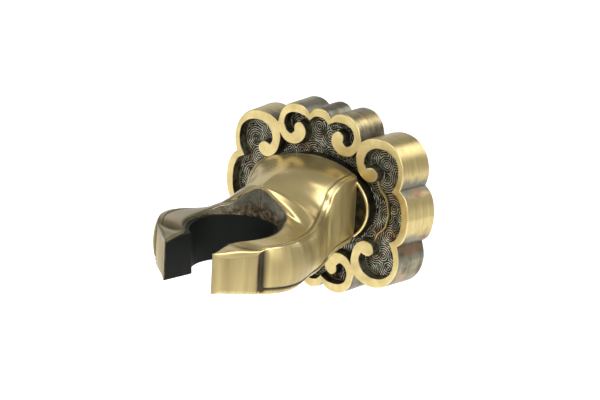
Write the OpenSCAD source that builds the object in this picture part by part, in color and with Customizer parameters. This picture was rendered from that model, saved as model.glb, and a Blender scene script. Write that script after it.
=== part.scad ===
// Wall holder for a hand shower: scrolled backplate, fixed arm and lined cradle.
// +Z is up, -Y is the room and the origin is the middle of the wall face.

/* [Backplate] */
// Depth of the backplate from the wall to the top of its rims
plate_depth = 11.5; // [10.5:0.5:14]
// Height of the scrolled rims above the engraved ground
rim_height = 3; // [2:0.5:4]
// How much wider the backplate is at the wall than at its front
plate_flare = 1.045; // [1.01:0.005:1.08]
// Thickness of the casting behind the ground
web = 2.5; // [2:0.5:3.5]
// Size of the hollow behind, as a share of the outline
hollow_share = 0.88; // [0.8:0.01:0.9]

/* [Arm] */
// Half width of the arm's elliptical foot
foot_half_w = 20; // [18:0.5:20.5]
// Half height of the foot
foot_half_h = 13.3; // [12.5:0.1:13.5]
// How far the foot stands in front of the rims
foot_proud = 1; // [0.5:0.5:2]
// Height of the neck's top at the foot
neck_top = 13; // [12:0.5:13.5]
// Level of the flat underside
arm_bottom = -14; // [-16:0.5:-13.5]

/* [Cradle] */
// Bore of the liner at its top
bore_d = 24.5; // [23:0.5:25.5]
// Bore of the liner at its bottom
bore_bottom_d = 22.5; // [21:0.5:22.5]
// Distance from the wall to the middle of the bore
reach = 51.3; // [50:0.1:53]
// Wall of the liner
liner_wall = 1.4; // [1:0.1:1.6]
// Top of the liner
liner_top = 0.3; // [0:0.1:0.5]
// Width of the mouth at the bore
throat_w = 13.6; // [12:0.2:15]
// Width of the mouth at the tips
mouth_w = 17.2; // [16:0.2:18]

/* [Fixings] */
// Diameter of the bolt that holds the arm
bolt_d = 5; // [4:1:5]
// Length of the bolt under its head
bolt_len = 14; // [12:1:16]
// Diameter of the locating pins
pin_d = 3; // [2:0.5:4]
// Distance between the locating pins
pin_spacing = 20; // [18:1:22]
// Diameter of the set screw
set_d = 4; // [3:0.5:4]
// Length of the set screw
set_len = 8; // [7:0.5:8]
// Running clearance of the set screw, on the radius
set_clear = 0.05; // [0.03:0.01:0.08]
// Clearance of the bolt in the backplate, on the radius
bolt_clear = 0.2; // [0.1:0.05:0.3]

/* [Wall bracket] */
// Width of the wall bracket
bracket_w = 48; // [44:1:50]
// Height of the wall bracket
bracket_h = 34; // [32:1:35]
// Thickness of the wall bracket
bracket_t = 4; // [3:0.5:4.5]
// Distance between the wall screws
wall_hole_spacing = 32; // [30:1:34]
// Width of the wall screw slots
wall_hole_d = 4.5; // [4:0.1:5]
// How far a screw may shift in its slot
wall_slot_shift = 3; // [1:0.5:4]

/* [Hidden] */
$fn = 96;
eps = 0.01;
trim = 1;
steps = 4;
ground = plate_depth - rim_height;
hollow = ground - web;
foot_front = plate_depth + foot_proud;

// Upper right quarter of the backplate, each edge as the points that its curve passes through.
// The outline runs from the top lobe over the small and the large scroll to the side lobe.
top_lobe = [[0, 27.6], [2.2, 27.0], [3.8, 25.2]];
small_scroll = [[3.8, 25.2], [5.8, 26.8], [8.5, 27.4], [11.6, 26.7], [14.1, 24.3], [15.3, 20.4]];
large_scroll = [[15.3, 20.4], [18.2, 22.0], [22.4, 22.7], [26.6, 21.4], [29.6, 18.2], [30.9, 14.4],
                [30.9, 11.4], [30.1, 8.5]];
side_lobe = [[30.1, 8.5], [32.0, 6.7], [33.2, 3.8], [33.7, 0]];
// The recess runs along the inner edges of the rims and around their curled ends.
top_lobe_inner = [[0, 25.0], [1.9, 24.6], [3.4, 23.2]];
small_scroll_inner = [[3.4, 23.2], [5.6, 24.4], [8.2, 24.7], [10.4, 24.4], [12.2, 23.2], [12.9, 21.0],
                      [12.1, 18.8], [10.2, 17.8], [8.8, 18.9]];
small_curl = [[8.8, 18.9], [8.8, 20.8], [7.1, 21.9], [5.1, 20.4], [5.0, 18.0], [6.8, 15.8], [9.5, 14.9],
              [12.3, 15.6], [14.3, 17.6]];
large_curl = [[14.3, 17.6], [14.1, 15.2], [15.3, 11.2], [18.3, 9.1], [21.1, 9.8], [21.8, 12.0],
              [19.9, 13.4], [17.6, 12.8]];
large_scroll_inner = [[17.6, 12.8], [16.8, 14.8], [17.6, 17.4], [19.7, 19.2], [22.5, 19.8], [25.9, 19.1],
                      [28.5, 16.9], [29.3, 13.8], [28.8, 10.4], [27.3, 7.7]];
side_lobe_inner = [[27.3, 7.7], [29.5, 6.4], [30.9, 3.5], [31.3, 0]];
// A low ridge crosses the ground on each side, from curl to curl.
ridge = [[20.4, 9.6], [21.6, 6.8], [24.0, 4.2], [25.0, 0]];
ridge_w = 0.8;
ridge_h = 1.2;

// Side of the arm seen from above, as distance from the middle and from the rim plane.
arm_side = [[16.4, 0.2], [15.9, 8], [16.3, 14.5], [18.4, 21], [21.8, 27.5], [24.3, 34.5], [24.6, 40],
            [23, 46], [19.2, 50.4]];
arm_tip = 59.5;
tip_wall = 0.6;
// Top of the arm seen from the side, in the same distances.
arm_top = [[0.2, 0], [6, 0.3], [12, 1.4], [18, 3.4], [24, 6.1], [29, 9.2], [35, 11.9], [42, 13],
           [51, 13.6], [59.5, 15.1]];
// Top of the arm seen from the room: the neck's crown, its sides and the top of the fork.
arm_crown = [[0, 13], [6, 12.6], [11, 11.6], [15, 9.9], [16.5, 7], [17.4, 3.4], [19.4, 1], [22, 0.4],
             [25, 0.2]];
bore_r = bore_d / 2;
bore_bottom_r = bore_bottom_d / 2;
cast_r = bore_r + liner_wall + 0.3;
cast_slope = 0.6;
cast_h = 14;
throat_y = sqrt(bore_r * bore_r - throat_w * throat_w / 4);
tip_y = arm_tip + plate_depth;

groove_w = 5;
groove_d = 1.2;
set_gap = 0.3;
set_y = hollow / 2;
set_z = -bracket_h / 2 + groove_d - set_gap - set_len;
boss_w = 9;
boss_top = -19;
boss_foot = -25.5;
head_d = 9;
head_h = 2.4;
washer_t = 0.8;
washer_d = 8.6;
key_w = 3;
bracket_hole_d = 15;
pin_len = 8;
hole_end = 0.5;

function at(p, k) = p[max(0, min(len(p) - 1, k))];
function bend(a, b, c, d, t) =
    (2 * b + (c - a) * t + (2 * a - 5 * b + 4 * c - d) * t * t + (3 * b - a - 3 * c + d) * t * t * t) / 2;
function curve(p) =
    [for (k = [0:len(p) - 2]) for (j = [0:steps - 1])
        bend(at(p, k - 1), p[k], p[k + 1], at(p, k + 2), j / steps)];
function flip_x(p) = [for (k = [len(p) - 1:-1:0]) [-p[k][0], p[k][1]]];
function flip_z(p) = [for (k = [len(p) - 1:-1:0]) [p[k][0], -p[k][1]]];
function tail(p) = [for (k = [1:len(p) - 1]) p[k]];
function ellipse(a, b, n = 72) = [for (k = [0:n - 1]) [a * cos(360 * k / n), b * sin(360 * k / n)]];

// A closed loop from its upper right quarter, whose first point is on the middle line.
function all_round(quarter, side) =
    let(right = concat(tail(quarter), [side], flip_z(tail(quarter))))
    concat([quarter[0]], right, [[quarter[0][0], -quarter[0][1]]], flip_x(right));
outline = all_round(concat(curve(top_lobe), curve(small_scroll), curve(large_scroll), curve(side_lobe)),
                    side_lobe[3]);
recess = all_round(concat(curve(top_lobe_inner), curve(small_scroll_inner), curve(small_curl),
                          curve(large_curl), curve(large_scroll_inner), curve(side_lobe_inner)),
                   side_lobe_inner[3]);

module away(distance) translate([0, -distance, 0]) rotate([90, 0, 0]) children();
module mirrored() {
    children();
    mirror([1, 0, 0]) children();
}

module ridges() mirrored() {
    upper = concat(curve(ridge), [ridge[3]]);
    edge = concat(upper, tail(flip_z(upper)));
    back = [for (k = [len(edge) - 1:-1:0]) [edge[k][0] - ridge_w, edge[k][1]]];
    polygon(concat(edge, back));
}

// Tapers towards the front, and is cut flat at both ends.
module plate_block() {
    lean = (plate_flare - 1) * trim / plate_depth;
    intersection() {
        away(-trim)
            linear_extrude(plate_depth + 2 * trim, scale = [(1 - lean) / (plate_flare + lean), 1], slices = 1)
            scale([plate_flare + lean, 1]) polygon(outline);
        translate([-40, -plate_depth, -40]) cube([80, plate_depth, 80]);
    }
}

module bolt_axis(start, length, d) away(start) cylinder(h = length, d = d);
module pin_axes(start, length) mirrored() translate([pin_spacing / 2, 0, 0]) bolt_axis(start, length, pin_d);

module backplate() color("#b09b5f") difference() {
    union() {
        difference() {
            plate_block();
            away(ground) linear_extrude(rim_height + 1) polygon(recess);
        }
        away(ground - 1) linear_extrude(1 + ridge_h) ridges();
    }
    difference() {
        away(-eps) linear_extrude(hollow + eps) scale(hollow_share) polygon(outline);
        translate([-boss_w / 2, -hollow - 1, boss_foot]) cube([boss_w, hollow + 2, boss_top - boss_foot]);
    }
    bolt_axis(hollow - eps, web + 1, bolt_d + 2 * bolt_clear);
    pin_axes(hollow - eps, web + 1);
    translate([0, -set_y, -30]) cylinder(h = 30 + boss_top + 1, d = set_d + 2 * set_clear);
}

module arm_plan() {
    side = [for (p = concat(curve(arm_side), [[mouth_w / 2, arm_tip]])) [p[0], -p[1] - plate_depth]];
    polygon(concat(side, flip_x(side)));
}

module arm_profile() {
    top = [for (p = concat(curve(arm_top), [arm_top[9]])) [-p[0] - plate_depth, neck_top - p[1]]];
    polygon(concat(top, [[-tip_y, arm_bottom], [top[0][0], arm_bottom + 1]]));
}

module arm_front() {
    side = arm_crown[8];
    crown = concat(curve(arm_crown), [side, [side[0], arm_bottom - 1]]);
    polygon(concat(crown, flip_x(crown)));
}

module arm_side_cut() translate([-30, 0, 0]) rotate([90, 0, 90]) linear_extrude(60) arm_profile();

// Mouth of the cradle, wider by one lip at the tips and another at the throat.
module mouth(lip_at_tip, lip_at_throat, end) {
    polygon([[mouth_w / 2 + lip_at_tip, -end], [throat_w / 2 + lip_at_throat, -reach - throat_y],
             [throat_w / 2 + lip_at_throat, -reach], [-throat_w / 2 - lip_at_throat, -reach],
             [-throat_w / 2 - lip_at_throat, -reach - throat_y], [-mouth_w / 2 - lip_at_tip, -end]]);
}

module liner_body() intersection() {
    liner_block();
    arm_side_cut();
}

module liner_block() {
    translate([0, -reach, arm_bottom])
        cylinder(h = liner_top - arm_bottom, r1 = bore_bottom_r + liner_wall, r2 = bore_r + liner_wall);
    translate([0, 0, arm_bottom]) linear_extrude(liner_top - arm_bottom) mouth(0, liner_wall, tip_y - tip_wall);
}

module cradle_space() {
    translate([0, -reach, arm_bottom - eps])
        cylinder(h = liner_top - arm_bottom + 2 * eps, r1 = bore_bottom_r, r2 = bore_r);
    translate([0, 0, arm_bottom - 1]) linear_extrude(20) mouth(0, 0, tip_y);
}

module holder_arm() color("#c9b578") difference() {
    union() {
        away(ground) linear_extrude(foot_front - ground) polygon(ellipse(foot_half_w, foot_half_h));
        intersection() {
            translate([0, 0, arm_bottom - 2]) linear_extrude(30) arm_plan();
            arm_side_cut();
            away(plate_depth) linear_extrude(tip_y) arm_front();
        }
    }
    liner_body();
    cradle_space();
    translate([0, -reach, liner_top - eps]) cylinder(h = cast_h, r1 = cast_r, r2 = cast_r + cast_slope * cast_h);
    bolt_axis(ground - eps, bolt_len - web + hole_end, bolt_d);
    pin_axes(ground - eps, pin_len - web + hole_end);
}

module cradle_liner() color("#2a2c28") difference() {
    liner_body();
    cradle_space();
}

module wall_bracket() color("#9a9a96") difference() {
    away(0) linear_extrude(bracket_t) difference() {
        intersection() {
            circle(d = bracket_w);
            square([bracket_w + 2, bracket_h], center = true);
        }
        circle(d = bracket_hole_d);
        for (side = [-1, 1]) translate([side * wall_hole_spacing / 2, 0]) {
            square([wall_slot_shift, wall_hole_d], center = true);
            for (end = [-1, 1]) translate([end * wall_slot_shift / 2, 0]) circle(d = wall_hole_d);
        }
        translate([-groove_w / 2, -bracket_h / 2 - 1]) square([groove_w, groove_d + 1]);
    }
}

module set_screw() color("#55534c") translate([0, -set_y, set_z]) difference() {
    cylinder(h = set_len, d = set_d);
    translate([0, 0, -1]) cylinder(h = 3, d = set_d / 2, $fn = 6);
}

module arm_bolt() color("#8c8a84") difference() {
    union() {
        bolt_axis(hollow, bolt_len, bolt_d);
        bolt_axis(hollow - washer_t - head_h, head_h, head_d);
        bolt_axis(hollow - washer_t - eps, washer_t + 2 * eps, bolt_d);
    }
    away(hollow - washer_t - head_h - eps) cylinder(h = head_h - 0.6, d = key_w, $fn = 6);
}

module lock_washer() color("#77746c") difference() {
    bolt_axis(hollow - washer_t, washer_t, washer_d);
    bolt_axis(hollow - washer_t - 1, washer_t + 2, bolt_d);
    translate([0, -hollow - 1, 0]) cube([0.8, washer_t + 3, washer_d]);
}

module locating_pins() color("#a5a29b") pin_axes(hollow, pin_len);

backplate();
holder_arm();
cradle_liner();
wall_bracket();
set_screw();
arm_bolt();
lock_washer();
locating_pins();
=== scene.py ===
import math
import bpy
import bmesh
from mathutils import Matrix, Vector


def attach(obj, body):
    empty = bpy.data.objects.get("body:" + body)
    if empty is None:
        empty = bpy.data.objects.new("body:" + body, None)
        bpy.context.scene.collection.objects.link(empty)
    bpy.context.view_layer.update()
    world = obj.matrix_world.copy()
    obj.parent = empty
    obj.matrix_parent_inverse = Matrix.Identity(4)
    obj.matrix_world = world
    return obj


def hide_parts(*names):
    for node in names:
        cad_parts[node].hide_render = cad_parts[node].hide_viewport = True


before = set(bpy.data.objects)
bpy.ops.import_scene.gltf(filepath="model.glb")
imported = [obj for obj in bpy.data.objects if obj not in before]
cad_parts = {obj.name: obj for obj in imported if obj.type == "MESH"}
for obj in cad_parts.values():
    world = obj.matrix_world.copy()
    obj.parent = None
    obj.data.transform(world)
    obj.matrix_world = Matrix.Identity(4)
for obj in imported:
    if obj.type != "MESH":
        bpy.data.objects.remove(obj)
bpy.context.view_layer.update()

mm = 0.001

# Wall holder for a hand shower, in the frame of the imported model: +Z up, -Y to the room.
# Lengths in the tables are millimetres, and mm turns them into metres.


# ---- camera, light and floor
cameraPlace = {"position": (0.5078, -0.7093, 0.2555), "azimuth": 36.34, "elevation": 16.54, "roll": 2.88,
               "lens": 182.36}


def makeCamera(values):
    azimuth = math.radians(values["azimuth"])
    elevation = math.radians(values["elevation"])
    roll = math.radians(values["roll"])
    right = Vector((math.cos(azimuth), math.sin(azimuth), 0))
    back = Vector((math.sin(azimuth) * math.cos(elevation), -math.cos(azimuth) * math.cos(elevation),
                   math.sin(elevation)))
    up = back.cross(right)
    xAxis = right * math.cos(roll) + up * math.sin(roll)
    yAxis = up * math.cos(roll) - right * math.sin(roll)
    data = bpy.data.cameras.new("camera")
    data.lens = values["lens"]
    data.sensor_width = 36
    data.clip_start = 0.01
    data.clip_end = 20
    camera = bpy.data.objects.new("camera", data)
    bpy.context.scene.collection.objects.link(camera)
    turn = Matrix((xAxis, yAxis, back)).transposed().to_4x4()
    camera.matrix_world = Matrix.Translation(values["position"]) @ turn
    bpy.context.scene.camera = camera


makeCamera(cameraPlace)
print("camera placed")


# ---- small helpers
def deselectAll():
    if bpy.context.object and bpy.context.object.mode != "OBJECT":
        bpy.ops.object.mode_set(mode="OBJECT")
    bpy.ops.object.select_all(action="DESELECT")


def choose(*pieces):
    deselectAll()
    for piece in pieces:
        piece.select_set(True)
    bpy.context.view_layer.objects.active = pieces[0]


def startEdit(piece, kind="FACE"):
    choose(piece)
    bpy.ops.object.mode_set(mode="EDIT")
    bpy.ops.mesh.select_mode(type=kind)


def endEdit():
    bpy.ops.object.mode_set(mode="OBJECT")


def tidyNormals(piece):
    startEdit(piece)
    bpy.ops.mesh.select_all(action="SELECT")
    bpy.ops.mesh.normals_make_consistent(inside=False)
    endEdit()


def applyModifier(piece, kind, **settings):
    modifier = piece.modifiers.new(kind.lower(), kind)
    for name, value in settings.items():
        setattr(modifier, name, value)
    choose(piece)
    bpy.ops.object.modifier_apply(modifier=modifier.name)


def combine(piece, tool, operation):
    # a boolean of the two that keeps the finish of each; the tool is used up
    applyModifier(piece, "BOOLEAN", operation=operation, object=tool, solver="EXACT",
                  material_mode="TRANSFER")
    bpy.data.objects.remove(tool)


def join(*pieces):
    choose(*pieces)
    bpy.ops.object.join()
    return pieces[0]


def openEdges(piece):
    shape = bmesh.new()
    shape.from_mesh(piece.data)
    count = sum(1 for edge in shape.edges if not edge.is_manifold)
    shape.free()
    return count


def smooth(piece, angle):
    choose(piece)
    bpy.ops.object.shade_smooth_by_angle(angle=math.radians(angle))
    applyModifier(piece, "WEIGHTED_NORMAL", keep_sharp=True, weight=80)


def bend(a, b, c, d, t):
    return (2 * b + (c - a) * t + (2 * a - 5 * b + 4 * c - d) * t * t + (3 * b - a - 3 * c + d) * t ** 3) / 2


def flowThrough(rows, steps, keepLast=False):
    # a smooth run of rows through the given ones, each column on its own
    last = len(rows) - 1
    made = []
    for k in range(last):
        around = [rows[min(max(k + shift, 0), last)] for shift in (-1, 0, 1, 2)]
        for step in range(steps):
            made.append([bend(*column, step / steps) for column in zip(*around)])
    if keepLast:
        made.append(list(rows[last]))
    return made


def loopStrip(name, loops):
    # a closed band through loops of the same number of points, each with its own Y
    count = len(loops[0][0])

    def place(row, column):
        points, y = loops[row]
        x, z = points[column % count]
        return x, y, z, 0

    piece = gridPiece(name, len(loops), count + 1, place)
    startEdit(piece, "VERT")
    bpy.ops.mesh.select_all(action="SELECT")
    bpy.ops.mesh.remove_doubles(threshold=0.0005 * mm)
    endEdit()
    return piece


def moveIn(loop, distance):
    # the loop moved to its inner side; where it would cross itself the points meet instead
    count = len(loop)
    area = sum(loop[k - 1][0] * loop[k][1] - loop[k][0] * loop[k - 1][1] for k in range(count))
    side = 1 if area > 0 else -1
    miterLimit = 0.7
    rounds = 12
    moved = []
    for k in range(count):
        here = Vector(loop[k])
        before = (here - Vector(loop[k - 1])).normalized()
        after = (Vector(loop[(k + 1) % count]) - here).normalized()
        way = Vector((-before.y - after.y, before.x + after.x)).normalized() * side
        miter = max(miterLimit, abs(way.dot(Vector((-before.y, before.x)))))
        moved.append(here + way * distance / miter)
    for turn in range(rounds):
        for k in range(count):
            was = Vector(loop[k]) - Vector(loop[k - 1])
            if (moved[k] - moved[k - 1]).dot(was) < 0:
                middle = (moved[k] + moved[k - 1]) / 2
                moved[k] = middle.copy()
                moved[k - 1] = middle
    return [(point.x, point.y) for point in moved]


def fillAt(piece, y, within=0.01):
    # closes the open edges that lie within reach of one depth
    startEdit(piece, "EDGE")
    shape = bmesh.from_edit_mesh(piece.data)
    for edge in shape.edges:
        edge.select = edge.is_boundary and all(abs(vertex.co.y / mm - y) < within for vertex in edge.verts)
    bmesh.update_edit_mesh(piece.data)
    bpy.ops.mesh.fill(use_beauty=False)
    endEdit()


def roundSteps(radius, count=4):
    # how far in and how far out each step of a quarter round lies
    turns = [math.radians(90 * k / count) for k in range(count + 1)]
    return [(radius * (1 - math.cos(turn)), radius * math.sin(turn)) for turn in turns]


def rod(name, start, end, diameter, sides=48):
    # a plain cylinder, used as a drill
    a, b = Vector(start) * mm, Vector(end) * mm
    deselectAll()
    turn = (b - a).to_track_quat("Z", "Y").to_euler()
    bpy.ops.mesh.primitive_cylinder_add(vertices=sides, radius=diameter / 2 * mm, depth=(b - a).length,
                                        location=(a + b) / 2, rotation=turn)
    piece = bpy.context.object
    piece.name = name
    bpy.ops.object.transform_apply(location=True, rotation=True, scale=True)
    return piece


def gridPiece(name, rows, columns, place):
    # a grid whose points are put in place by row and column; place also gives each point's share of patina
    # and painted shade
    deselectAll()
    bpy.ops.mesh.primitive_grid_add(x_subdivisions=rows - 1, y_subdivisions=columns - 1, size=2)
    piece = bpy.context.object
    piece.name = name
    ageAndShade = piece.data.attributes.new("ageAndShade", "FLOAT", "POINT")
    for vertex in piece.data.vertices:
        row = round((vertex.co.x + 1) / 2 * (rows - 1))
        column = round((vertex.co.y + 1) / 2 * (columns - 1))
        x, y, z, agedAndShaded = place(row, column)
        vertex.co = Vector((x, y, z)) * mm
        ageAndShade.data[vertex.index].value = agedAndShaded
    return piece


def bump(distance, width):
    # 1 at no distance, fading to 0 within about twice the width
    return math.exp(-(distance / width) ** 2)


# ---- finishes
class Wire:
    # one socket of a shader, which takes part in plain sums
    def __init__(self, tree, socket):
        self.tree = tree
        self.socket = socket

    def sum(self, operation, other, swapped=False):
        node = self.tree.nodes.new("ShaderNodeMath")
        node.operation = operation
        for value, entry in zip((other, self) if swapped else (self, other), node.inputs):
            plug(self.tree, value, entry)
        return Wire(self.tree, node.outputs[0])

    def __add__(self, other):
        return self.sum("ADD", other)

    def __radd__(self, other):
        return self.sum("ADD", other, True)

    def __sub__(self, other):
        return self.sum("SUBTRACT", other)

    def __rsub__(self, other):
        return self.sum("SUBTRACT", other, True)

    def __mul__(self, other):
        return self.sum("MULTIPLY", other)

    def __rmul__(self, other):
        return self.sum("MULTIPLY", other, True)


def plug(tree, value, entry):
    if isinstance(value, Wire):
        tree.links.new(value.socket, entry)
    else:
        entry.default_value = value


class Finish:
    # a material with its shader, and short ways to add nodes to it
    def __init__(self, name, **fixed):
        self.material = bpy.data.materials.new(name)
        self.material.use_nodes = True
        self.tree = self.material.node_tree
        self.shader = self.tree.nodes["Principled BSDF"]
        self.set(**fixed)
        self.place = self.node("ShaderNodeTexCoord", output="Object")

    def set(self, **values):
        for name, value in values.items():
            plug(self.tree, value, self.shader.inputs[name.replace("_", " ")])

    def node(self, kind, settings=None, values=None, output=0):
        made = self.tree.nodes.new(kind)
        for name, value in (settings or {}).items():
            setattr(made, name, value)
        for name, value in (values or {}).items():
            plug(self.tree, value, made.inputs[name])
        return Wire(self.tree, made.outputs[output])

    def stretched(self, scale):
        return self.node("ShaderNodeMapping", None, {"Vector": self.place, "Scale": scale})

    def noise(self, scale, detail=3, along=(1, 1, 1), rough=0.5):
        where = self.stretched(along) if along != (1, 1, 1) else self.place
        return self.node("ShaderNodeTexNoise", None, {"Vector": where, "Scale": scale, "Detail": detail,
                                                      "Roughness": rough})

    def between(self, value, low, high):
        # 0 below low, 1 above high
        return self.node("ShaderNodeMapRange", {"clamp": True},
                         {"Value": value, "From Min": low, "From Max": high})

    def mix(self, share, first, second):
        return self.node("ShaderNodeMix", {"data_type": "RGBA"},
                         {"Factor": share, "A": first, "B": second}, 2)

    def bumpOn(self, height, strength, distance):
        self.set(Normal=self.node("ShaderNodeBump", None, {"Height": height, "Strength": strength,
                                                          "Distance": distance * mm}))

    # each point's share of patina and painted shade, which darkens the finish
    def ageAndShade(self):
        return self.node("ShaderNodeAttribute", {"attribute_name": "ageAndShade"}, None, "Fac")


def colour(red, green, blue):
    return (red, green, blue, 1)


# the darkest brown stands for patina, and on the arm also for painted shade
brass = {"pale": colour(0.60, 0.49, 0.235), "mid": colour(0.47, 0.37, 0.16),
         "deep": colour(0.33, 0.235, 0.085), "patinaAndShade": colour(0.055, 0.043, 0.026),
         "greenish": colour(0.185, 0.18, 0.135), "copper": colour(0.25, 0.135, 0.075)}


def rimBrass():
    # smooth satin tops of the scrolls
    finish = Finish("rimBrass", Metallic=1.0)
    cloud = finish.noise(260, 4)
    grain = finish.noise(900, 3, (1, 1, 0.08))
    base = finish.mix(finish.between(cloud, 0.35, 0.7), brass["pale"], brass["mid"])
    # darker where each point's patina and painted shade are high
    base = finish.mix(finish.between(finish.ageAndShade() + (cloud - 0.5) * 0.5, 0.15, 0.9), base, brass["deep"])
    finish.set(Base_Color=base, Roughness=0.26 + 0.16 * grain + finish.ageAndShade() * 0.1)
    finish.bumpOn(grain + finish.noise(2600, 2) * 0.4, 0.12, 0.03)
    return finish.material


def wallBrass():
    # brushed round the outline, with patina that breaks off in streaks; the dark colours also carry painted
    # shade where the walls face up and where they face down
    finish = Finish("wallBrass", Metallic=1.0)
    streak = finish.noise(60, 5, (1, 16, 1), 0.62)
    fine = finish.noise(120, 3, (1.5, 60, 1.5))
    spots = finish.noise(380, 4)
    # dark share from patina, streaks, spots and painted shade
    tarnishAndShade = finish.between(finish.ageAndShade() + (streak - 0.5) * 0.9 + (spots - 0.5) * 0.5, 0.3, 0.78)
    gold = finish.mix(finish.between(streak, 0.3, 0.7), colour(0.40, 0.31, 0.13), brass["pale"])
    dark = finish.mix(finish.between(finish.noise(170, 3), 0.42, 0.62), brass["greenish"],
                      colour(0.10, 0.08, 0.052))
    dark = finish.mix(finish.between(finish.noise(260, 3, (1, 0.4, 1)), 0.56, 0.7), dark, brass["copper"])
    finish.set(Base_Color=finish.mix(tarnishAndShade, gold, dark), Roughness=0.30 + 0.12 * fine + 0.1 * tarnishAndShade)
    finish.bumpOn(fine + streak * 0.5, 0.25, 0.03)
    return finish.material


def recessBrass():
    # sloping inner walls of the rims, nearly black with a few rubbed glints
    finish = Finish("recessBrass", Metallic=1.0)
    patch = finish.noise(420, 4)
    base = finish.mix(finish.between(patch, 0.35, 0.6), brass["patinaAndShade"], brass["greenish"])
    base = finish.mix(finish.between(finish.noise(800, 3), 0.62, 0.72), base, brass["deep"])
    finish.set(Base_Color=base, Roughness=0.34 + 0.2 * patch)
    finish.bumpOn(finish.noise(1500, 4), 0.5, 0.06)
    return finish.material


def groundBrass():
    # overlapping patches of fine concentric arcs, dark in the grooves
    finish = Finish("groundBrass", Metallic=1.0)
    flat = finish.node("ShaderNodeMapping", None,
                       {"Vector": finish.place, "Rotation": (math.radians(90), 0, 0)})
    apart = finish.node("ShaderNodeTexVoronoi", {"voronoi_dimensions": "2D"},
                        {"Vector": flat, "Scale": 185.0, "Randomness": 0.9}, "Distance")
    arcs = (apart * 50.0).sum("SINE", 0)
    raised = finish.between(arcs, -0.5, 0.8)
    patch = finish.noise(240, 3)
    crest = finish.mix(finish.between(patch, 0.52, 0.68), colour(0.46, 0.46, 0.36), colour(0.42, 0.25, 0.15))
    crest = finish.mix(finish.between(finish.noise(420, 2), 0.56, 0.7), crest, colour(0.10, 0.085, 0.05))
    groove = colour(0.03, 0.027, 0.02)
    base = finish.mix(raised * finish.between(finish.noise(500, 4), 0.28, 0.55), groove, crest)
    finish.set(Base_Color=base, Roughness=0.5 - 0.16 * raised)
    finish.bumpOn(raised, 1.0, 0.2)
    return finish.material


def ridgeBrass():
    # rubbed brown-gold of the side ridges
    finish = Finish("ridgeBrass", Metallic=1.0)
    base = finish.mix(finish.between(finish.noise(400, 4), 0.35, 0.65), brass["deep"],
                      colour(0.42, 0.31, 0.13))
    base = finish.mix(finish.between(finish.ageAndShade(), 0.4, 0.8), base, brass["patinaAndShade"])
    finish.set(Base_Color=base, Roughness=0.36 + 0.2 * finish.noise(900, 3))
    finish.bumpOn(finish.noise(1500, 3), 0.3, 0.04)
    return finish.material


def footBrass():
    # flange under the arm: a painted highlight along the front of its rim, and painted shade in its dish and
    # down its side
    finish = Finish("footBrass", Metallic=1.0)
    halfWidth, halfHeight = 0.020, 0.0133
    scaled = finish.stretched((1 / halfWidth, 1 / mm, 1 / halfHeight))
    across, deep, tall = [finish.node("ShaderNodeSeparateXYZ", None, {"Vector": scaled}, k)
                          for k in range(3)]
    # painted highlight: a pale band along the front of the rim
    rim = finish.between(across * across + tall * tall, 0.87, 0.93) * finish.between(deep, -11.6, -12.1)
    cloud = finish.noise(500, 4)
    # painted shade: nearly black everywhere off the rim
    dark = finish.mix(finish.between(cloud, 0.4, 0.65), colour(0.022, 0.02, 0.015),
                      colour(0.075, 0.062, 0.038))
    base = finish.mix(rim, dark, brass["pale"])
    finish.set(Base_Color=base, Roughness=0.46 - 0.18 * rim + 0.1 * cloud)
    finish.bumpOn(finish.noise(1500, 3), 0.25, 0.04)
    return finish.material


def castBrass():
    # the unworked back of a casting
    finish = Finish("castBrass", Metallic=1.0)
    grain = finish.noise(900, 5)
    base = finish.mix(finish.between(finish.noise(120, 3), 0.4, 0.65), colour(0.30, 0.22, 0.10),
                      brass["patinaAndShade"])
    finish.set(Base_Color=base, Roughness=0.5 + 0.25 * grain)
    finish.bumpOn(grain, 0.7, 0.12)
    return finish.material


def polishedBrass():
    # glossy top of the arm, with painted shade in its lines, along the cut edge, in the lens and on the left
    # half of the cradle
    finish = Finish("polishedBrass", Metallic=0.85)
    cloud = finish.noise(70, 3)
    side, deep = [finish.node("ShaderNodeSeparateXYZ", None, {"Vector": finish.place}, k) for k in range(2)]
    # painted shade on the left half of the cradle's top, where less light falls
    left = finish.between(side, -0.002, -0.010) * finish.between(deep, -0.030, -0.037)
    base = finish.mix(finish.between(cloud, 0.35, 0.7), colour(0.58, 0.47, 0.23), colour(0.49, 0.385, 0.175))
    base = finish.mix(left * (0.55 + 0.4 * cloud), base, colour(0.12, 0.10, 0.06))
    # painted shade from each point's darkening share
    base = finish.mix(finish.between(finish.ageAndShade(), 0.05, 0.9), base, brass["patinaAndShade"])
    finish.set(Base_Color=base, Roughness=0.23 + 0.10 * cloud + 0.3 * finish.ageAndShade())
    finish.bumpOn(finish.noise(160, 2), 0.05, 0.2)
    return finish.material


def brushedBrass():
    # sides of the arm, brushed up and down, with painted shade in the side line and the notch and towards
    # the tip
    finish = Finish("brushedBrass", Metallic=0.85)
    streak = finish.noise(240, 4, (1, 1, 0.06), 0.6)
    fine = finish.noise(1300, 3, (1, 1, 0.05))
    base = finish.mix(finish.between(streak, 0.3, 0.72), colour(0.54, 0.43, 0.20), colour(0.37, 0.29, 0.125))
    # painted shade from each point's darkening share
    base = finish.mix(finish.between(finish.ageAndShade() + (streak - 0.5) * 0.3, 0.1, 0.85), base, brass["patinaAndShade"])
    finish.set(Base_Color=base, Roughness=0.33 + 0.12 * fine + 0.2 * finish.ageAndShade())
    finish.bumpOn(fine, 0.16, 0.03)
    return finish.material


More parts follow.
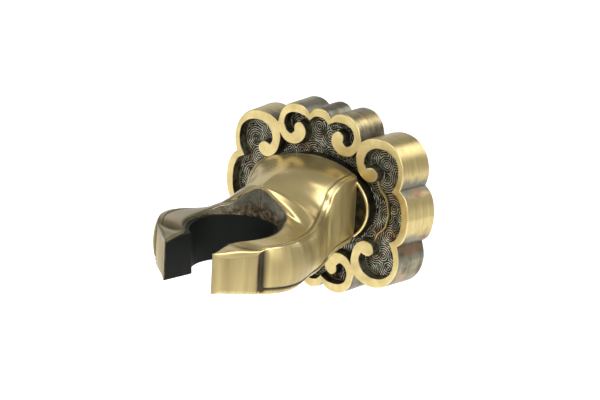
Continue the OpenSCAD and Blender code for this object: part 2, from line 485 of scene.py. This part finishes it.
def grainyBrass():
    # cast wall of the cradle: smooth and grey near the top edge, granular and brown lower down
    finish = Finish("grainyBrass", Metallic=1.0)
    grain = finish.noise(1150, 4)
    low = finish.ageAndShade()
    brown = finish.mix(finish.between(finish.noise(700, 4), 0.42, 0.62), brass["patinaAndShade"],
                       colour(0.17, 0.13, 0.08))
    grey = finish.mix(finish.between(finish.noise(200, 3), 0.4, 0.6), colour(0.10, 0.096, 0.072),
                      colour(0.155, 0.145, 0.105))
    share = finish.between(low + (grain - 0.5) * 0.5, 0.35, 0.65)
    finish.set(Base_Color=finish.mix(share, grey, brown), Roughness=0.42 + 0.22 * grain)
    finish.bumpOn(grain * (0.5 + low), 1.0, 0.4)
    return finish.material


def linerPlastic():
    # satin black moulding with a fine grain and a few scuffs
    finish = Finish("linerPlastic", Metallic=0.0, Specular_IOR_Level=0.14)
    grain = finish.noise(3200, 3)
    scuff = finish.between(finish.noise(240, 4, (1, 1, 0.2)), 0.6, 0.75)
    base = finish.mix(scuff, colour(0.003, 0.004, 0.003), colour(0.010, 0.011, 0.009))
    finish.set(Base_Color=base, Roughness=0.45 + 0.12 * grain + 0.1 * scuff)
    finish.bumpOn(grain, 0.25, 0.03)
    return finish.material


def zincSteel():
    # plated bracket: pale, slightly cloudy, with rolling lines
    finish = Finish("zincSteel", Metallic=1.0)
    cloud = finish.noise(190, 4)
    lines = finish.noise(300, 3, (0.1, 1, 3))
    base = finish.mix(finish.between(cloud, 0.35, 0.7), colour(0.62, 0.62, 0.60), colour(0.45, 0.45, 0.42))
    finish.set(Base_Color=base, Roughness=0.28 + 0.25 * cloud)
    finish.bumpOn(lines + cloud, 0.2, 0.03)
    return finish.material


def platedSteel():
    # screws, bolt, washer and pins
    finish = Finish("platedSteel", Metallic=1.0)
    wear = finish.noise(500, 4)
    base = finish.mix(finish.between(wear, 0.4, 0.65), colour(0.36, 0.34, 0.30), colour(0.20, 0.19, 0.17))
    finish.set(Base_Color=base, Roughness=0.26 + 0.2 * wear)
    finish.bumpOn(wear, 0.2, 0.03)
    return finish.material


makers = (rimBrass, wallBrass, recessBrass, groundBrass, ridgeBrass, footBrass, castBrass, polishedBrass,
          brushedBrass, grainyBrass, linerPlastic, zincSteel, platedSteel)
finishes = {make.__name__: make() for make in makers}


def dress(piece, *names):
    piece.data.materials.clear()
    for name in names:
        piece.data.materials.append(finishes[name])


print("finishes made")


# ---- backplate
plate = {
    "depth": 11.5, "rimHeight": 3.0, "web": 2.5, "flare": 1.045, "hollow": 0.88,
    "edgeRound": 0.4, "lipRound": 0.3, "backChamfer": 0.3, "recessFillet": 0.4, "valleyReach": 5.5,
    # upper right quarter of the outline: top lobe, small scroll, large scroll and side lobe
    "outline": (
        [(0, 27.6), (2.2, 27.0), (3.8, 25.2)],
        [(3.8, 25.2), (5.8, 26.8), (8.5, 27.4), (11.6, 26.7), (14.1, 24.3), (15.3, 20.4)],
        [(15.3, 20.4), (18.2, 22.0), (22.4, 22.7), (26.6, 21.4), (29.6, 18.2), (30.9, 14.4), (30.9, 11.4),
         (30.1, 8.5)],
        [(30.1, 8.5), (32.0, 6.7), (33.2, 3.8), (33.7, 0)]),
    # the recess follows the inner edges of the rims and goes round their curled ends
    "recess": (
        [(0, 25.0), (1.9, 24.6), (3.4, 23.2)],
        [(3.4, 23.2), (5.6, 24.4), (8.2, 24.7), (10.4, 24.4), (12.2, 23.2), (12.9, 21.0), (12.1, 18.8),
         (10.2, 17.8), (8.8, 18.9)],
        [(8.8, 18.9), (8.8, 20.8), (7.1, 21.9), (5.1, 20.4), (5.0, 18.0), (6.8, 15.8), (9.5, 14.9),
         (12.3, 15.6), (14.3, 17.6)],
        [(14.3, 17.6), (14.1, 15.2), (15.3, 11.2), (18.3, 9.1), (21.1, 9.8), (21.8, 12.0), (19.9, 13.4),
         (17.6, 12.8)],
        [(17.6, 12.8), (16.8, 14.8), (17.6, 17.4), (19.7, 19.2), (22.5, 19.8), (25.9, 19.1), (28.5, 16.9),
         (29.3, 13.8), (28.8, 10.4), (27.3, 7.7)],
        [(27.3, 7.7), (29.5, 6.4), (30.9, 3.5), (31.3, 0)]),
    "ridge": [(20.4, 9.6), (21.6, 6.8), (24.0, 4.2), (25.0, 0)], "ridgeWidth": 0.9, "ridgeHeight": 1.1,
    "seat": (21.2, 14.4), "seatWidth": 0.55, "seatHeight": 0.3, "seatPoints": 96, "lineSunk": 0.15,
    "bossWidth": 9, "bossTop": -19, "bossFoot": -25.5, "bossInWeb": 0.3, "bossGap": 0.02,
    "screwHole": 4.1, "boltHole": 5.4, "pinHole": 3, "pinX": 10, "drillPast": 1, "drillLow": -30,
}
ground = plate["depth"] - plate["rimHeight"]
hollowDepth = ground - plate["web"]


def allRound(curves, steps=5):
    # a closed loop from the curves of its upper right quarter
    quarter = []
    for points in curves:
        quarter += flowThrough(points, steps)
    rest = quarter[1:]
    right = rest + [list(curves[-1][-1])] + [[x, -z] for x, z in reversed(rest)]
    return [quarter[0]] + right + [[quarter[0][0], -quarter[0][1]]] + [[-x, z] for x, z in reversed(right)]


def raisedLine(name, path, width, height, finish, closed=False):
    # a low half-round line on the ground along the path
    count = len(path)
    across = 7

    def place(row, column):
        before = path[(row - 1) % count if closed else max(row - 1, 0)]
        after = path[(row + 1) % count if closed else min(row + 1, count - 1)]
        along = Vector((after[0] - before[0], after[1] - before[1])).normalized()
        x, z = path[row % count]
        angle = math.pi * column / (across - 1)
        shift = width / 2 * math.cos(angle)
        rise = height * math.sin(angle) ** 0.8 - plate["lineSunk"]
        return x + along.y * shift, -ground - rise, z - along.x * shift, 0.8 - 0.7 * math.sin(angle)

    piece = gridPiece(name, count + 1 if closed else count, across, place)
    startEdit(piece, "EDGE")
    bpy.ops.mesh.select_all(action="SELECT")
    bpy.ops.mesh.remove_doubles(threshold=0.001 * mm)
    bpy.ops.mesh.select_all(action="DESELECT")
    bpy.ops.mesh.select_non_manifold()
    bpy.ops.mesh.fill()
    endEdit()
    tidyNormals(piece)
    dress(piece, finish)
    return piece


def valleyCloseness(x, z):
    # 1 in the valleys between the lobes, where the curves of the outline meet, and 0 out of their reach
    nearest = min(math.dist((abs(x), abs(z)), curve[0]) for curve in plate["outline"][1:])
    return max(0.0, 1 - nearest / plate["valleyReach"])


def patinaAndShadePlate(piece):
    # patina gathers in the valleys; painted shade darkens the walls that face up, standing in for a dark
    # reflection from above, and those that face down near the valleys; the plate also grows darker towards
    # the bottom
    ageAndShade = piece.data.attributes["ageAndShade"]
    facing = [Vector() for vertex in piece.data.vertices]
    for face in piece.data.polygons:
        if abs(face.normal.y) < 0.5:
            for index in face.vertices:
                facing[index] += face.normal * face.area
    for vertex in piece.data.vertices:
        x, y, z = vertex.co / mm
        if y > -plate["depth"] + plate["edgeRound"] - 0.01:
            way = facing[vertex.index].normalized()
            valley = valleyCloseness(x, z)
            # painted shade on walls that face up, weaker on the outer lobes, and on walls that face down
            # near the valleys
            up = max(0.0, way.z) * (1.0 if abs(x) < 16 else 0.45)
            down = max(0.0, -way.z)
            # darker towards the bottom
            low = 0.6 * min(1.0, max(0.0, -z / 11))
            agedAndShaded = 0.14 + 0.9 * valley + 0.5 * up + 0.4 * down * valley + low
            ageAndShade.data[vertex.index].value = min(1.0, agedAndShaded)
        elif ageAndShade.data[vertex.index].value == 0:
            ageAndShade.data[vertex.index].value = 0.1 + 0.25 * valleyCloseness(x, z)


def makePlate(values):
    outline = allRound(values["outline"])
    recess = allRound(values["recess"])
    depth = values["depth"]
    front = depth - values["edgeRound"]

    lipRound = values["lipRound"]
    wide = [(x * values["flare"], z) for x, z in outline]
    outer = [(moveIn(wide, values["backChamfer"]), 0), (wide, -values["backChamfer"])]
    outer += [(moveIn(outline, inward), -front - outward)
              for inward, outward in roundSteps(values["edgeRound"])]
    inner = [(moveIn(recess, lipRound * 0.5 - 0.5 * inward), -depth + lipRound - outward)
             for inward, outward in reversed(roundSteps(lipRound))]
    wallTop = -depth + lipRound
    wallTall = -ground - values["recessFillet"] - wallTop
    inner += [(moveIn(recess, lipRound * 0.5 + share * 0.25), wallTop + wallTall * share)
              for share in (0.33, 0.66, 1)]
    inner += [(moveIn(recess, lipRound * 0.5 + 0.33), -ground - 0.12),
              (moveIn(recess, lipRound * 0.5 + 0.5), -ground)]
    hollowEdge = [(x * values["hollow"], z * values["hollow"]) for x, z in outline]
    behind = [(hollowEdge, 0), (hollowEdge, -hollowDepth)]

    block = loopStrip("scrollPlate", outer)
    dress(block, "rimBrass")
    pocket = loopStrip("recessWall", inner)
    dress(pocket, "recessBrass")
    cavity = loopStrip("hollowWall", behind)
    dress(cavity, "castBrass")
    join(block, pocket, cavity)
    for y in (-depth, -ground, -hollowDepth, 0):
        fillAt(block, y)
    tidyNormals(block)
    print("backplate blank, open edges", openEdges(block))

    tall = values["bossTop"] - values["bossFoot"]
    middle = (values["bossTop"] + values["bossFoot"]) / 2
    deep = hollowDepth + values["bossInWeb"]
    deselectAll()
    bpy.ops.mesh.primitive_cube_add(size=1)
    boss = bpy.context.object
    for vertex in boss.data.vertices:
        x, y, z = vertex.co
        back = (y - 0.5) * deep - values["bossGap"]
        vertex.co = Vector((x * values["bossWidth"], back, middle + z * tall)) * mm
    dress(boss, "castBrass")
    combine(block, boss, "UNION")

    past = values["drillPast"]
    screwY = -hollowDepth / 2
    drills = [("screwDrill", (0, screwY, values["drillLow"]), (0, screwY, values["bossTop"] + past),
               values["screwHole"])]
    for name, x, size in (("boltDrill", 0, values["boltHole"]),
                          ("pinDrillLeft", -values["pinX"], values["pinHole"]),
                          ("pinDrillRight", values["pinX"], values["pinHole"])):
        drills.append((name, (x, -ground - past, 0), (x, -hollowDepth + past, 0), size))
    for name, start, end, size in drills:
        drill = rod(name, start, end, size)
        dress(drill, "castBrass")
        combine(block, drill, "DIFFERENCE")

    for name in ("wallBrass", "groundBrass"):
        block.data.materials.append(finishes[name])
    slots = [slot.material.name for slot in block.material_slots]
    for face in block.data.polygons:
        name = slots[face.material_index]
        y = face.center.y / mm
        if name == "rimBrass" and abs(face.normal.y) < 0.5:
            face.material_index = slots.index("wallBrass")
        elif name == "rimBrass" and (face.normal.y > 0.5 or y > -ground + 0.1):
            face.material_index = slots.index("castBrass")
        elif face.normal.y < -0.9 and abs(y + ground) < 0.01:
            face.material_index = slots.index("groundBrass")
    patinaAndShadePlate(block)

    right = flowThrough(values["ridge"], 6, True)
    right += [[x, -z] for x, z in reversed(right[:-1])]
    left = [[-x, z] for x, z in right]
    width, height = values["ridgeWidth"], values["ridgeHeight"]
    ridges = [raisedLine("ridgeRight", right, width, height, "ridgeBrass"),
              raisedLine("ridgeLeft", left, width, height, "ridgeBrass")]
    halfWidth, halfHeight = values["seat"]
    turns = [math.tau * k / values["seatPoints"] for k in range(values["seatPoints"])]
    ring = [(halfWidth * math.cos(turn), halfHeight * math.sin(turn)) for turn in turns]
    seat = raisedLine("seatLine", ring, values["seatWidth"], values["seatHeight"], "recessBrass", True)
    join(block, *ridges, seat)
    smooth(block, 32)
    return block


backplate = makePlate(plate)
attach(backplate, "holder")
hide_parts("backplate")
print("backplate made", len(backplate.data.polygons), "faces")


# ---- arm
arm = {
    "boreD": 39.8, "pocketR": 13.65, "ledgeR": 13.95, "ledgeZ": 0.3, "lipR": 13.3, "lipZ": -0.65,
    "castSlope": 0.6, "cutRound": 0.7, "baseRound": 0.9, "underside": -14, "keelZ": -13.1,
    "foot": (20, 13.3), "footProud": 1.0, "footRound": 0.5, "lip": 0.15, "dish": 0.6,
    # lines along the outer edge of the top: height, distance from the edge and width
    "beads": ((0.16, 1.15, 0.42), (-0.20, 1.95, 0.22), (-0.10, 0.62, 0.15)),
    # line round the side: depth, height above the underside and width
    "sideLine": (0.45, 1.9, 0.3),
    "notchDeep": 0.9, "notchEnds": 0.35, "lensDeep": 0.75, "lensShade": 0.75,
    "steps": 7,
}


def onCone(angle, z):
    # a point of the cast wall round the cradle, at an angle from the line to the wall
    radius = arm["ledgeR"] + arm["castSlope"] * max(0.0, z - arm["ledgeZ"])
    return radius * math.sin(math.radians(angle)), arm["boreD"] - radius * math.cos(math.radians(angle)), z


def onPocket(angle):
    return (arm["pocketR"] * math.sin(math.radians(angle)),
            arm["boreD"] - arm["pocketR"] * math.cos(math.radians(angle)))


# Stations along the right half, from the foot to the tip. Each has the inner and the outer edge of the top
# as x, distance in front of the rims and height; how fast the top falls; bulge of the side; strength of the
# beads, notch and lens; roundness of the outer edge; the underside's outer height; and its inner edge as x
# and distance.
stations = [
    (0, 0.2, 13.15, 14.9, 0.2, 9.9, 2.2, 0.1, 0.3, 0, 0, 0.3, -9.0, 0, 0.2),
    (0, 1.6, 13.1, 15.5, 1.6, 10.1, 2.2, 0.3, 0.7, 0, 0, 0.3, -9.3, 0, 1.6),
    (0, 5.2, 13.05, 15.9, 4.8, 10.0, 2.2, 0.4, 1, 0, 0, 0.3, -9.9, 0, 5),
    (0, 10, 12.85, 15.9, 8.9, 9.1, 2.2, 0.4, 1, 0, 0, 0.3, -10.8, 0, 9),
    (0, 15.5, 12.2, 15.6, 12.3, 6.5, 2.2, 0.5, 1, 0, 0, 0.3, -12.4, 0, 13.5),
    (0, 19.8, 11.5, 15.6, 13.8, 3.3, 2.2, 0.6, 1, 0, 0, 0.35, -13.5, 0, 18),
    (0, 23.9, 10.3, 16.0, 15.8, 0.8, 2.1, 0.3, 1, 0, 0, 0.4, -14, 0, 22.5),
    (0, 26.8, 9.1, 17.0, 18.6, -0.4, 1.9, 0.8, 1, 0, 0, 0.4, -14, *onPocket(0)),
    (1.7, 26.8, 8.8, 17.6, 20.1, -0.7, 1.6, 1.0, 1, 0, 0, 0.4, -14, *onPocket(4.5)),
    (3.3, 26.8, 7.9, 18.1, 21.6, -0.9, 1.35, 1.2, 1, 0, 0, 0.4, -14, *onPocket(9)),
    (6.0, 26.6, 6.3, 18.8, 24.3, -1.2, 1.0, 1.6, 1, 0, 0, 0.4, -14, *onPocket(20)),
    (8.6, 26.2, 3.6, 19.3, 26.8, -1.3, 0.85, 1.8, 1, 0, 0, 0.4, -14, *onPocket(32)),
    (10.3, 27.8, 2.3, 19.9, 29.2, -1.25, 0.8, 2.0, 1, 0, 0, 0.4, -14, *onPocket(42)),
    (*onCone(52, 2.0), 20.8, 32.0, -1.0, 0.8, 2.1, 1, 0, 0, 0.4, -14, *onPocket(51)),
    (*onCone(62, 1.2), 21.7, 34.6, -0.6, 0.85, 2.1, 1, 0, 0, 0.4, -14, *onPocket(61)),
    (*onCone(74, 0.6), 22.6, 37.6, -0.2, 0.9, 1.9, 1, 0, 0, 0.4, -14, *onPocket(74)),
    (*onCone(90, 0.3), 22.9, 40.9, 0, 1, 1.7, 1, 0, 0, 0.4, -14, *onPocket(90)),
    (*onCone(107, 0.2), 22.4, 44.2, 0, 1, 1.5, 1, 0, 0, 0.4, -14, *onPocket(107)),
    (*onCone(124, 0), 21.1, 47.1, 0, 1, 1.3, 1, 0, 0.1, 0.4, -14, *onPocket(124)),
    (9.7, 49.7, -0.2, 19.9, 48.9, -0.2, 1, 1.0, 1, 0, 0.6, 0.45, -14, *onPocket(136)),
    (8.4, 51.3, -0.6, 19.1, 50.2, -0.7, 1, 0.2, 0.3, 1, 1.0, 0.7, -14, 8.3, 50.9),
    (8.3, 52.4, -0.9, 18.0, 51.3, -0.9, 1, 0.35, 0, 0.15, 0.5, 1.5, -14, 8.3, 52.4),
    (8.35, 54.3, -1.2, 15.6, 53.3, -1.2, 1, 0.4, 0, 0, 0, 1.8, -14, 8.35, 54.3),
    (8.45, 56.4, -1.6, 12.8, 55.7, -1.6, 1, 0.35, 0, 0, 0, 1.8, -14, 8.45, 56.4),
    (8.5, 58.2, -1.9, 10.5, 57.7, -1.9, 1, 0.2, 0, 0, 0, 1.2, -14, 8.5, 58.2),
    (8.55, 59.2, -2.1, 8.75, 59.2, -2.1, 1, 0, 0, 0, 0, 0.2, -14, 8.55, 59.2),
]
columns = ("inX", "inD", "inZ", "outX", "outD", "outZ", "fall", "bulge", "bead", "notch", "lens", "round",
           "footZ", "baseX", "baseD")
# before this station the top and underside run to the middle plane, and from it on the cradle cuts them
firstCut = 7
line = [dict(zip(columns, row)) for row in flowThrough(stations, arm["steps"], True)]
for station in line[:firstCut * arm["steps"] + 1]:
    station["inX"] = station["baseX"] = 0
for station in line[firstCut * arm["steps"]:]:
    station["footZ"] = arm["underside"]


def outward(row):
    # direction out of the side, level, at a station
    before, after = line[max(row - 1, 0)], line[min(row + 1, len(line) - 1)]
    along = Vector((after["outX"] - before["outX"], after["outD"] - before["outD"])).normalized()
    return Vector((along.y, -along.x))


def inPart(x, distance, z):
    return x, -plate["depth"] - distance, z


# columns across the top: distances from its inner edge, a number between, and distances from its outer edge
topHead = [0, 0.05, 0.15, 0.3, 0.5, 0.8]
topTail = [3.2, 2.7, 2.4, 2.15, 1.95, 1.75, 1.55, 1.35, 1.15, 1.0, 0.85, 0.7, 0.5, 0.3, 0.12, 0]
topMiddle = 12


def topShare(row):
    # how far across the top each column lies, as shares of the width
    station = line[row]
    width = max(0.05, math.dist((station["inX"], station["inD"]), (station["outX"], station["outD"])))
    fit = min(1.0, width / 8)
    head = [value * fit / width for value in topHead]
    tail = [1 - value * fit / width for value in topTail]
    step = (tail[0] - head[-1]) / (topMiddle + 1)
    return head + [head[-1] + step * (k + 1) for k in range(topMiddle)] + tail, width


def roundedDrop(distance, radius):
    # how far a rounded edge has dropped at a distance from it
    inside = max(0.0, radius - distance)
    return radius - math.sqrt(max(0.0, radius * radius - inside * inside))


def placeTop(row, column):
    station = line[row]
    shares, width = topShare(row)
    share = shares[column]
    if column == len(shares) - 1:
        return placeSide(row, 0)
    fromInner, fromOuter = share * width, (1 - share) * width
    x = station["inX"] + (station["outX"] - station["inX"]) * share
    distance = station["inD"] + (station["outD"] - station["inD"]) * share
    z = station["inZ"] + (station["outZ"] - station["inZ"]) * share ** station["fall"]
    lines = sum(height * bump(fromOuter - middle, wide) for height, middle, wide in arm["beads"])
    z += lines * station["bead"]
    z -= roundedDrop(fromOuter, station["round"])
    if row >= firstCut * arm["steps"]:
        z -= roundedDrop(fromInner, min(arm["cutRound"], width / 3))
    lens = station["lens"] * math.sin(math.pi * min(1, max(0, share))) ** 0.6
    z -= arm["lensDeep"] * lens
    # painted shade in the grooves beside the beads
    agedAndShaded = station["bead"] * (0.75 * bump(fromOuter - 1.95, 0.26) + 0.5 * bump(fromOuter - 0.62, 0.2))
    # painted shade along the cut edge, dulling its highlight
    if row >= firstCut * arm["steps"]:
        agedAndShaded += 0.5 * bump(fromInner, 0.9)
    # painted shade in the lens
    return (*inPart(x, distance, z), min(1.0, agedAndShaded + arm["lensShade"] * lens * lens))


def footEdge(station):
    # how round the lower outer edge is
    width = math.dist((station["outX"], station["outD"]), (station["baseX"], station["baseD"]))
    return min(arm["baseRound"], 0.4 * width)


sideColumns = 40


def placeSide(row, column):
    station = line[row]
    out = outward(row)
    top = station["outZ"] - station["round"]
    base = station["footZ"]
    share = column / (sideColumns - 1)
    edge = footEdge(station)
    z = top + (base + edge - top) * share
    panel = station["bulge"] * math.sin(math.pi * share * 0.96) ** 0.75 if share < 1 else 0.0
    deep, middle, wide = arm["sideLine"]
    above = z - base - middle
    shift = panel - station["bead"] * deep * bump(above, wide)
    ends = arm["notchEnds"]
    shift -= station["notch"] * arm["notchDeep"] * (ends + (1 - ends) * math.sin(math.pi * share))
    x = station["outX"] + out.x * shift
    distance = station["outD"] + (out.y * shift if row else 0)
    # painted shade in the side line and the notch
    agedAndShaded = 0.8 * station["bead"] * bump(above, 0.4) + 0.85 * station["notch"]
    # painted shade growing towards the tip
    agedAndShaded += 0.32 * min(1.0, max(0.0, (distance - 20) / 15))
    return (*inPart(x, distance, z), min(1.0, agedAndShaded))


baseColumns = 8
roundColumns = 4


def placeBase(row, column):
    # rounds under the side's lower edge, then runs to the inner edge, down to the keel under the neck
    station = line[row]
    out = outward(row)
    edge = footEdge(station)
    if column < roundColumns:
        angle = math.pi / 2 * column / (roundColumns - 1)
        notch = station["notch"] * arm["notchDeep"] * arm["notchEnds"]
        shift = -edge * (1 - math.cos(angle)) - notch
        x, distance = station["outX"] + out.x * shift, station["outD"] + out.y * shift
        z = station["footZ"] + edge * (1 - math.sin(angle))
    else:
        share = (column - roundColumns + 1) / (baseColumns - roundColumns)
        startX, startD = station["outX"] - out.x * edge, station["outD"] - out.y * edge
        x = startX + (station["baseX"] - startX) * share
        distance = startD + (station["baseD"] - startD) * share
        keel = min(arm["keelZ"], station["footZ"])
        z = station["footZ"] + (keel - station["footZ"]) * math.sin(math.pi / 2 * share)
    if row == 0:
        distance = station["outD"]
    return (*inPart(x, distance, z), 0.1)


wallColumns = 14
castColumns = 10
ringEnd = 50.5
pocketGap = 0.05


def placeWall(row, column):
    # down the cast wall to the lip over the liner, then down the pocket; past the ring there is no lip
    station = line[row + firstCut * arm["steps"]]
    topZ = placeTop(row + firstCut * arm["steps"], 0)[2]
    onRing = station["inD"] < ringEnd
    lipZ = min(arm["lipZ"], topZ - 0.3)
    centre = Vector((0, arm["boreD"]))
    inner = Vector((station["inX"], station["inD"]))
    base = Vector((station["baseX"], station["baseD"]))
    lip = base - (base - centre).normalized() * (arm["pocketR"] - arm["lipR"]) if onRing else base
    if column < castColumns:
        share = column / (castColumns - 1)
        where = inner + (lip - inner) * share
        return (*inPart(where.x, where.y, topZ + (lipZ - topZ) * share), share)
    share = (column - castColumns) / (wallColumns - castColumns - 1)
    start = lipZ - pocketGap
    return (*inPart(base.x, base.y, start + (arm["underside"] - start) * share), 1.0)


def makeArm(values):
    rows = len(line)
    top = gridPiece("fixedArm", rows, len(topHead) + topMiddle + len(topTail), placeTop)
    dress(top, "polishedBrass")
    side = gridPiece("armSide", rows, sideColumns, placeSide)
    dress(side, "brushedBrass")
    base = gridPiece("armBase", rows, baseColumns, placeBase)
    dress(base, "brushedBrass")
    wall = gridPiece("armWall", rows - firstCut * values["steps"], wallColumns, placeWall)
    dress(wall, "grainyBrass")
    half = join(top, side, base, wall)
    startEdit(half, "VERT")
    bpy.ops.mesh.select_all(action="SELECT")
    bpy.ops.mesh.remove_doubles(threshold=0.02 * mm)
    endEdit()
    fillAt(half, -plate["depth"] - line[-1]["outD"], 0.5)
    applyModifier(half, "MIRROR", use_axis=(True, False, False), merge_threshold=0.02 * mm)
    fillAt(half, -plate["depth"] - line[0]["outD"])
    tidyNormals(half)
    print("arm without its foot, open edges", openEdges(half))

    deselectAll()
    thick = plate["rimHeight"] + values["footProud"]
    bpy.ops.mesh.primitive_cylinder_add(vertices=144, radius=mm, depth=thick * mm,
                                        rotation=(math.pi / 2, 0, 0),
                                        location=(0, -(ground + thick / 2) * mm, 0))
    foot = bpy.context.object
    foot.scale = (values["foot"][0], values["foot"][1], 1)
    bpy.ops.object.transform_apply(location=True, rotation=True, scale=True)
    startEdit(foot, "EDGE")
    shape = bmesh.from_edit_mesh(foot.data)
    for edge in shape.edges:
        edge.select = all(vertex.co.y < -(plate["depth"] + 0.5) * mm for vertex in edge.verts)
    bmesh.update_edit_mesh(foot.data)
    bpy.ops.mesh.bevel(offset=values["footRound"] * mm, segments=4, affect="EDGES")
    bpy.ops.mesh.select_mode(type="FACE")
    shape = bmesh.from_edit_mesh(foot.data)
    for face in shape.faces:
        face.select = face.normal.y < -0.9 and len(face.verts) > 10
    bmesh.update_edit_mesh(foot.data)
    bpy.ops.mesh.inset(thickness=values["lip"] * mm)
    bpy.ops.mesh.inset(thickness=values["dish"] * mm, depth=-values["dish"] * mm)
    endEdit()
    dress(foot, "footBrass")
    combine(half, foot, "UNION")
    smooth(half, 35)
    return half


holderArm = makeArm(arm)
print("arm made", len(holderArm.data.polygons), "faces, open edges", openEdges(holderArm))
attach(holderArm, "holder")
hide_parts("holder_arm")


# ---- liner, bracket and fasteners
def softCopy(node, name, finish, edge, steps=2):
    # the node's own shape with its edges rounded
    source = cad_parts[node]
    piece = bpy.data.objects.new(name, source.data.copy())
    bpy.context.scene.collection.objects.link(piece)
    piece.data.transform(source.matrix_world)
    startEdit(piece, "VERT")
    bpy.ops.mesh.select_all(action="SELECT")
    bpy.ops.mesh.remove_doubles(threshold=0.002 * mm)
    bpy.ops.mesh.dissolve_limited(angle_limit=math.radians(0.5))
    endEdit()
    tidyNormals(piece)
    applyModifier(piece, "BEVEL", width=edge * mm, segments=steps, limit_method="ANGLE",
                  angle_limit=math.radians(40))
    dress(piece, finish)
    smooth(piece, 35)
    return piece


# rounding of each piece's edges, and how far the liner's top, all that lies above linerTop, is lowered
small = {"linerEdge": 0.3, "linerDrop": 0.9, "linerTop": -4, "bracketEdge": 0.3, "screwEdge": 0.15,
         "boltEdge": 0.25, "washerEdge": 0.12, "pinEdge": 0.2}

liner = softCopy("cradle_liner", "cradleLiner", "linerPlastic", small["linerEdge"], 3)
for vertex in liner.data.vertices:
    if vertex.co.z > small["linerTop"] * mm:
        vertex.co.z -= small["linerDrop"] * mm
bracket = softCopy("wall_bracket", "wallBracket", "zincSteel", small["bracketEdge"])
screw = softCopy("set_screw", "setScrew", "platedSteel", small["screwEdge"])
bolt = softCopy("arm_bolt", "armBolt", "platedSteel", small["boltEdge"])
washer = softCopy("lock_washer", "lockWasher", "platedSteel", small["washerEdge"])
pins = softCopy("locating_pins", "locatingPins", "platedSteel", small["pinEdge"])
for piece, node, body, slot in (
        (liner, "cradle_liner", "holder", "liner_plastic"),
        (bracket, "wall_bracket", "holder", "bracket_steel"),
        (screw, "set_screw", "lock_screw", "screw_steel"),
        (bolt, "arm_bolt", "holder", "screw_steel"),
        (washer, "lock_washer", "holder", "screw_steel"),
        (pins, "locating_pins", "holder", "screw_steel")):
    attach(piece, body)
    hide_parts(node)
    print(piece.name, len(piece.data.polygons), "faces, open edges", openEdges(piece))


# ---- studio
def makeStudio():
    deselectAll()
    bpy.ops.mesh.primitive_plane_add(size=12, location=(0, 0, -0.3))
    floor = bpy.context.object
    floor.name = "floor"
    paper = bpy.data.materials.new("paleFloor")
    paper.use_nodes = True
    shader = paper.node_tree.nodes["Principled BSDF"]
    shader.inputs["Base Color"].default_value = colour(0.9, 0.9, 0.89)
    shader.inputs["Roughness"].default_value = 0.9
    shader.inputs["Emission Color"].default_value = colour(1, 1, 1)
    shader.inputs["Emission Strength"].default_value = 0.75
    floor.data.materials.append(paper)

    world = bpy.data.worlds.new("studio")
    bpy.context.scene.world = world
    world.use_nodes = True
    tree = world.node_tree
    place = tree.nodes.new("ShaderNodeTexCoord")
    split = tree.nodes.new("ShaderNodeSeparateXYZ")
    ramp = tree.nodes.new("ShaderNodeValToRGB")
    ramp.color_ramp.elements[0].position = 0.0
    ramp.color_ramp.elements[0].color = colour(0.75, 0.75, 0.74)
    ramp.color_ramp.elements[1].position = 0.75
    ramp.color_ramp.elements[1].color = colour(0.42, 0.42, 0.41)
    tree.links.new(place.outputs["Generated"], split.inputs[0])
    tree.links.new(split.outputs["Z"], ramp.inputs["Fac"])
    tree.links.new(ramp.outputs["Color"], tree.nodes["Background"].inputs["Color"])
    tree.nodes["Background"].inputs["Strength"].default_value = 0.75

    for name, where, size, power in (("keyRight", (0.75, -0.25, 0.45), (0.6, 0.6), 6),
                                     ("fillLeft", (-0.7, -0.8, 0.25), (0.8, 0.8), 2.5),
                                     ("topFront", (0.1, -0.45, 0.9), (0.8, 0.6), 6),
                                     ("behindRight", (0.4, 0.8, 0.55), (0.45, 0.45), 3),
                                     ("behindLeft", (-0.6, 0.8, 0.42), (1.0, 0.8), 1.2)):
        light = bpy.data.lights.new(name, "AREA")
        light.shape = "RECTANGLE"
        light.size, light.size_y = size
        light.energy = power
        lamp = bpy.data.objects.new(name, light)
        bpy.context.scene.collection.objects.link(lamp)
        lamp.location = where
        lamp.rotation_euler = (Vector((0, -0.03, 0)) - Vector(where)).to_track_quat("-Z", "Y").to_euler()
    bpy.context.scene.view_settings.view_transform = "Standard"


makeStudio()
print("studio made")
